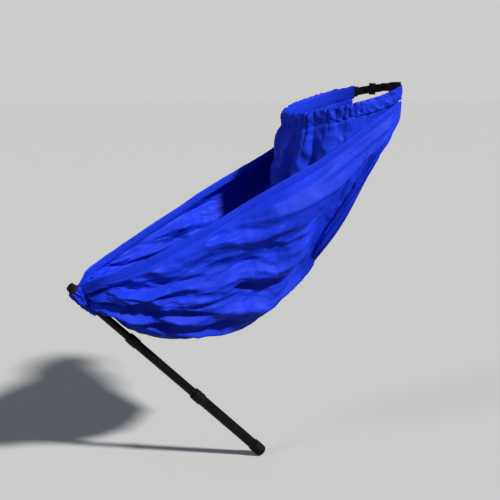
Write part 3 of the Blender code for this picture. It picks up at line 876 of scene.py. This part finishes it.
def turnedPiece(name, outline, closed, look, body, slotName, node, relief=None, bevel=0.0004):
    mesh = bmesh.new()
    verts = [mesh.verts.new((radius, 0, -down)) for radius, down in outline]
    edges = [mesh.edges.new(pair) for pair in zip(verts, verts[1:])]
    if closed:
        edges.append(mesh.edges.new((verts[-1], verts[0])))
    bmesh.ops.spin(mesh, geom=verts + edges, axis=(0, 0, 1), cent=(0, 0, 0), steps=pole["sides"],
                   angle=math.tau, use_merge=True)
    bmesh.ops.remove_doubles(mesh, verts=mesh.verts, dist=weld / 2)
    bmesh.ops.recalc_face_normals(mesh, faces=mesh.faces)
    if bevel:
        softened(mesh, bevel, 2)
    if relief:
        for vert in mesh.verts:
            reach = math.hypot(vert.co.x, vert.co.y)
            if reach > 0.001:
                grown = 1 + relief(math.atan2(vert.co.y, vert.co.x), -vert.co.z, reach) / reach
                vert.co.x *= grown
                vert.co.y *= grown
    bmesh.ops.transform(mesh, matrix=poleFrame, verts=mesh.verts)
    dress(addPiece(name, mesh, sharp=40), look, body, slotName, node)


def tubeOutline(radius, start, end, wall=0.0012, count=24):
    outside = [(radius, start + (end - start) * step / count) for step in range(count + 1)]
    return outside + [(radius - wall, end), (radius - wall, start)]


def dents(seed):
    # small knocks along a tube
    def relief(angle, down, reach):
        return 0.00010 * ripple(angle * 1.3, down * 60, seed)
    return relief


tubes = {
    # outer radius, start and end
    "upper": (0.0110, 0.0082, 0.330), "middle": (0.0130, 0.240, 0.590), "lower": (0.0155, 0.518, 0.806),
}
for seed, (name, measures) in enumerate(tubes.items(), 1):
    turnedPiece(f"{name}Tube", tubeOutline(*measures), True, blackPaint, f"{name}_section", "black_paint",
                f"{name}_tube", dents(seed))


lock = {
    "wall": 0.0017, "above": 0.0060,      # how far it reaches up past its tube's end
    "step": 0.0006,       # depth of the two grooves, and height of the rim under them
    "innerGap": 0.0008, "outerGap": 0.0004, "ribs": 16, "ribHeight": 0.0006, "bevel": 0.0002,
}


def lockOutline(tube, inner, start):
    outer = tube + lock["wall"]
    groove, rim = outer - lock["step"], outer + lock["step"]
    innerBore, outerBore = inner + lock["innerGap"], tube + lock["outerGap"]
    top = start - lock["above"]
    grip = [(outer, top + 0.0085 + 0.0012 * step) for step in range(14)]
    return [
        (innerBore, top), (outer - 0.0010, top), (outer, top + 0.0014), (outer, top + 0.0060),
        (groove, top + 0.0064), (groove, top + 0.0076), *grip, (groove, top + 0.0256), (groove, top + 0.0268),
        (rim, top + 0.0276), (rim, top + 0.0345), (outer, top + 0.0360), (outerBore, top + 0.0360),
        (outerBore, top + 0.0056), (innerBore, top + 0.0056),
    ]


def gripRibs(tube, start):
    # upright ribs on the outside of the grip
    def relief(angle, down, reach):
        inside = ease(start + 0.0020, start + 0.0035, down) * (1 - ease(start + 0.0175, start + 0.0190, down))
        if reach < tube + lock["wall"] / 2:
            return 0
        return lock["ribHeight"] * inside * squared(math.sin(lock["ribs"] * angle), 0.6)
    return relief


for name, inner, outer in (("upper", "upper", "middle"), ("lower", "middle", "lower")):
    tube, start = tubes[outer][:2]
    turnedPiece(f"{name}Lock", lockOutline(tube, tubes[inner][0], start), True, mouldedPlastic,
                f"{name}_lock", "black_plastic", f"{name}_lock_collar", gripRibs(tube, start), lock["bevel"])

capOutline = [
    (0, -0.0006), (0.0050, -0.0004), (0.0088, 0.0002), (0.0112, 0.0012), (0.0126, 0.0028), (0.0129, 0.0044),
    (0.0122, 0.0050), (0.0122, 0.0058), (0.0129, 0.0064), (0.0127, 0.0078), (0, 0.0078),
]
turnedPiece("topCap", capOutline, False, mouldedPlastic, "upper_section", "black_plastic", "top_cap",
            None, 0.0002)

# the outer face flares from the tube to the cuff, and the inner one leaves room for the tube
binding = {"start": 0.0082, "length": 0.0136, "radius": 0.0124, "flare": 0.0068, "pitch": 0.0030, "steps": 36}
bindingShares = [step / binding["steps"] for step in range(binding["steps"] + 1)]
bindingOutline = [(binding["radius"] + binding["flare"] * share ** 1.5,
                   binding["start"] + binding["length"] * share) for share in bindingShares]
bindingOutline += [(0.0165, 0.0218), (0.0114, 0.0165), (0.0114, binding["start"])]


def woundTape(angle, down, reach):
    # turns of tape on the outer face
    if reach < 0.0121:
        return 0
    wrap = puff(math.tau * (down / binding["pitch"]) + angle + 0.6 * ripple(angle, down * 90, 5.0))
    return 0.0011 * (wrap - 0.6) + 0.0003 * ripple(angle * 6, down * 300, 6.0)


turnedPiece("noseBinding", bindingOutline, True, blackWebbing, "upper_section", "black_webbing",
            "nose_binding", woundTape, 0)

footOutline = [
    (0, 0.8070), (0.0158, 0.8070), (0.0158, 0.7862), (0.0174, 0.7862), (0.0180, 0.7872), (0.0181, 0.7900),
    (0.0174, 0.7908), (0.0174, 0.7922), (0.0183, 0.7930), (0.0184, 0.7958), (0.0176, 0.7966),
    (0.0176, 0.7980), (0.0185, 0.7988), (0.0184, 0.8016), (0.0177, 0.8024), (0.0177, 0.8038),
    (0.0184, 0.8046), (0.0183, 0.8200), (0.0176, 0.8250), (0.0160, 0.8282), (0.0130, 0.8296),
    (0.0090, 0.8300), (0, 0.8300),
]
turnedPiece("rubberFoot", footOutline, False, footRubber, "lower_section", "black_rubber", "rubber_foot",
            None, 0.0002)
print("pole turned")


# ---- straps and buckle behind the trunk

strap = {
    "size": (0.0018, 0.025), "standoff": 0.0040, "length": 0.11, "count": (90, 20),
    "rows": (0.04, 0.96), "stitches": 8, "sewn": (0.10, 0.32),
    "thread": {"length": 0.0026, "width": 0.0008, "rise": 0.0005},
}


def rearStrap(name, start, end, node):
    def middle(u):
        return roundTrunk(math.radians(start + (end - start) * u), trunk["radius"] + strap["standoff"], 0)

    piece = ribbon(name, strap["count"], middle, strap["size"], strap["length"])
    dress(piece, blackWebbing, "root", "black_webbing", node)
    sewn = stitchRows(f"{name}Stitches", ribbonSurface(middle, strap["size"]), strap["rows"],
                      strap["stitches"], strap["thread"], *strap["sewn"])
    dress(sewn, sewingThread, "root", "blue_seam_tape")


rearStrap("nearRearStrap", -134.5, -168.5, "near_rear_strap")
rearStrap("farRearStrap", 164, 134.5, "far_rear_strap")


def mouldedBox(size, cutFaces, wall):
    # a box with its chosen ends opened, the walls left standing
    mesh = bmesh.new()
    bmesh.ops.create_cube(mesh, size=1)
    bmesh.ops.scale(mesh, vec=size, verts=mesh.verts)
    ends = [face for face in mesh.faces if cutFaces(face.normal)]
    bmesh.ops.inset_individual(mesh, faces=ends, thickness=wall)
    return mesh, ends


slider = {"size": (0.0074, 0.020, 0.036), "wall": 0.0018, "place": math.radians(152)}


def strapSlider():
    angle = slider["place"]
    mesh, ends = mouldedBox(slider["size"], lambda normal: abs(normal.y) > 0.9, slider["wall"])
    bmesh.ops.bridge_loops(mesh, edges=[edge for face in ends for edge in face.edges])
    bmesh.ops.delete(mesh, geom=ends, context="FACES_ONLY")
    softened(mesh, 0.0005)
    place = Matrix.Translation(roundTrunk(angle, trunk["radius"] + strap["standoff"], 0))
    bmesh.ops.transform(mesh, matrix=place @ Matrix.Rotation(math.pi - angle, 4, "Z"), verts=mesh.verts)
    dress(addPiece("strapSlider", mesh, 40), mouldedPlastic, "root", "black_plastic", "strap_slider")


buckle = {
    "size": (0.010, 0.036, 0.032), "wall": 0.0018, "hollow": 0.82, "x": 0.1765, "start": 0.0040,
    "panelEdge": 0.0030, "panelDepth": 0.0006, "webbing": 0.046,
    # half of the plug's outline, (along the strap, up): shoulder, outer prong and guide in the middle
    "plug": [(0.020, 0.0150), (0, 0.0150), (0, 0.0130), (-0.024, 0.0120), (-0.026, 0.0100), (-0.026, 0.0085),
             (0, 0.0085), (0, 0.0030), (-0.022, 0.0020)],
}


def buckleSocket():
    depth, length, _ = buckle["size"]
    mesh, mouth = mouldedBox(buckle["size"], lambda normal: normal.y > 0.9, buckle["wall"])
    pushed = bmesh.ops.extrude_discrete_faces(mesh, faces=mouth)["faces"]
    floorVerts = [vert for face in pushed for vert in face.verts]
    bmesh.ops.translate(mesh, vec=(0, -length * buckle["hollow"], 0), verts=floorVerts)
    outside = [face for face in mesh.faces
               if abs(face.normal.x) > 0.9 and abs(face.calc_center_median().x) > depth * 0.45]
    bmesh.ops.inset_individual(mesh, faces=outside, thickness=buckle["panelEdge"],
                               depth=-buckle["panelDepth"])
    softened(mesh, 0.0004)
    place = (buckle["x"] + depth / 2, -length / 2 + 0.003, trunk["slope"] * buckle["x"])
    bmesh.ops.translate(mesh, vec=place, verts=mesh.verts)
    dress(addPiece("buckleSocket", mesh, 40), mouldedPlastic, "root", "black_plastic", "buckle_socket")


def bucklePlug():
    depth = buckle["size"][0] - 0.0048
    middle = Vector((buckle["x"] + buckle["size"][0] / 2, buckle["start"], trunk["slope"] * buckle["x"]))
    outline = buckle["plug"] + [(y, -z) for y, z in reversed(buckle["plug"])]
    mesh = bmesh.new()
    face = mesh.faces.new([mesh.verts.new((-depth / 2, y, z)) for y, z in outline])
    pushed = bmesh.ops.extrude_face_region(mesh, geom=[face])["geom"]
    moved = [item for item in pushed if isinstance(item, bmesh.types.BMVert)]
    bmesh.ops.translate(mesh, vec=(depth, 0, 0), verts=moved)
    bmesh.ops.recalc_face_normals(mesh, faces=mesh.faces)
    softened(mesh, 0.0004)
    bmesh.ops.translate(mesh, vec=middle, verts=mesh.verts)
    dress(addPiece("bucklePlug", mesh, 40), mouldedPlastic, "plug", "black_plastic", "buckle_plug")

    def path(u):
        return middle + Vector((0, 0.0203 + buckle["webbing"] * u, 0))      # from the plug's end

    tail = ribbon("plugWebbing", (40, 20), path, strap["size"], buckle["webbing"])
    dress(tail, blackWebbing, "plug", "black_webbing", "plug_webbing")


strapSlider()
buckleSocket()
bucklePlug()
print("strap and buckle made")


# ---- what the frame keeps: pieces inside the tubes and the band's elastic

kept = {
    "trunk_band_elastic": objectElastic, "upper_guide_bush": mouldedPlastic,
    "lower_guide_bush": mouldedPlastic, "foot_plug": mouldedPlastic,
}
for nodeName, look in kept.items():
    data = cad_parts[nodeName].data
    data.materials.clear()
    data.materials.append(look)
print("inner pieces finished")


# ---- floor, light and camera

studio = {
    "floor": (0.518, 0.518, 0.513), "bounce": (0.22, 0.22, 0.22), "backdrop": (0.605, 0.605, 0.600),
    "horizon": (0.17, 0.18, 0.19), "zenith": (0.10, 0.12, 0.15), "strength": 1.0,
    "haze": (0.12, 0.55),       # sines of the heights between which the sky turns from one to the other
    "floorSize": 60, "floorGap": 0.0005,
    # direction it comes from, size, power, colour
    "key": ((0.38, -0.71, 0.68), math.radians(5), 4.8, (1.0, 0.98, 0.95)),
    "fill": ((-0.92, -0.16, 0.50), math.radians(12), 0.55, (0.94, 0.97, 1.0)),
}


def studioWorld():
    # pale near the horizon and dimmer overhead, so that the folds keep their shade
    world = bpy.data.worlds.new("studio")
    world.use_nodes = True
    tree = world.node_tree
    place = tree.nodes.new("ShaderNodeTexCoord")
    split = tree.nodes.new("ShaderNodeSeparateXYZ")
    tree.links.new(place.outputs["Generated"], split.inputs["Vector"])
    height = ranged(tree, split.outputs["Z"], 0, 1, *studio["haze"])
    sky = blended(tree, studio["horizon"], studio["zenith"], height)
    # the camera sees the backdrop's own colour
    ray = tree.nodes.new("ShaderNodeLightPath")
    seen = blended(tree, sky, studio["backdrop"], ray.outputs["Is Camera Ray"])
    tree.links.new(seen, tree.nodes["Background"].inputs["Color"])
    tree.nodes["Background"].inputs["Strength"].default_value = studio["strength"]
    bpy.context.scene.world = world


def sunLamp(name, comesFrom, size, power, colour):
    data = bpy.data.lights.new(name, "SUN")
    data.angle = size
    data.energy = power
    data.color = colour
    lamp = bpy.data.objects.new(name, data)
    bpy.context.collection.objects.link(lamp)
    lamp.rotation_euler = (-Vector(comesFrom)).to_track_quat("-Z", "Y").to_euler()


floorMesh = bmesh.new()
bmesh.ops.create_grid(floorMesh, x_segments=1, y_segments=1, size=studio["floorSize"])
bmesh.ops.translate(floorMesh, vec=(0, 0, cadLow[2] - studio["floorGap"]), verts=floorMesh.verts)
floor = addPiece("floor", floorMesh)
floorMaterial, floorTree, floorShader = newMaterial("floorPaint", studio["floor"], 0.9)
floorShader.inputs["Specular IOR Level"].default_value = 0.1
floorRay = floorTree.nodes.new("ShaderNodeLightPath")    # throws little light back up under the bag
floorTree.links.new(blended(floorTree, studio["floor"], studio["bounce"], floorRay.outputs["Is Diffuse Ray"]),
                    floorShader.inputs["Base Color"])
floor.data.materials.append(floorMaterial)
studioWorld()
sunLamp("key", *studio["key"])
sunLamp("fill", *studio["fill"])

view = {
    "azimuth": math.radians(-25), "elevation": math.radians(10), "distance": 2.85,
    "target": Vector((-0.2891, 0.0512, -0.4415)), "lens": 67.28,
}
back = Vector((math.sin(view["azimuth"]) * math.cos(view["elevation"]),
               -math.cos(view["azimuth"]) * math.cos(view["elevation"]), math.sin(view["elevation"])))
cameraData = bpy.data.cameras.new("camera")
cameraData.sensor_width = 36
cameraData.lens = view["lens"]
camera = bpy.data.objects.new("camera", cameraData)
bpy.context.collection.objects.link(camera)
camera.location = view["target"] + back * view["distance"]
camera.rotation_euler = (-back).to_track_quat("-Z", "Y").to_euler()
bpy.context.scene.camera = camera
bpy.context.scene.view_settings.view_transform = "Standard"
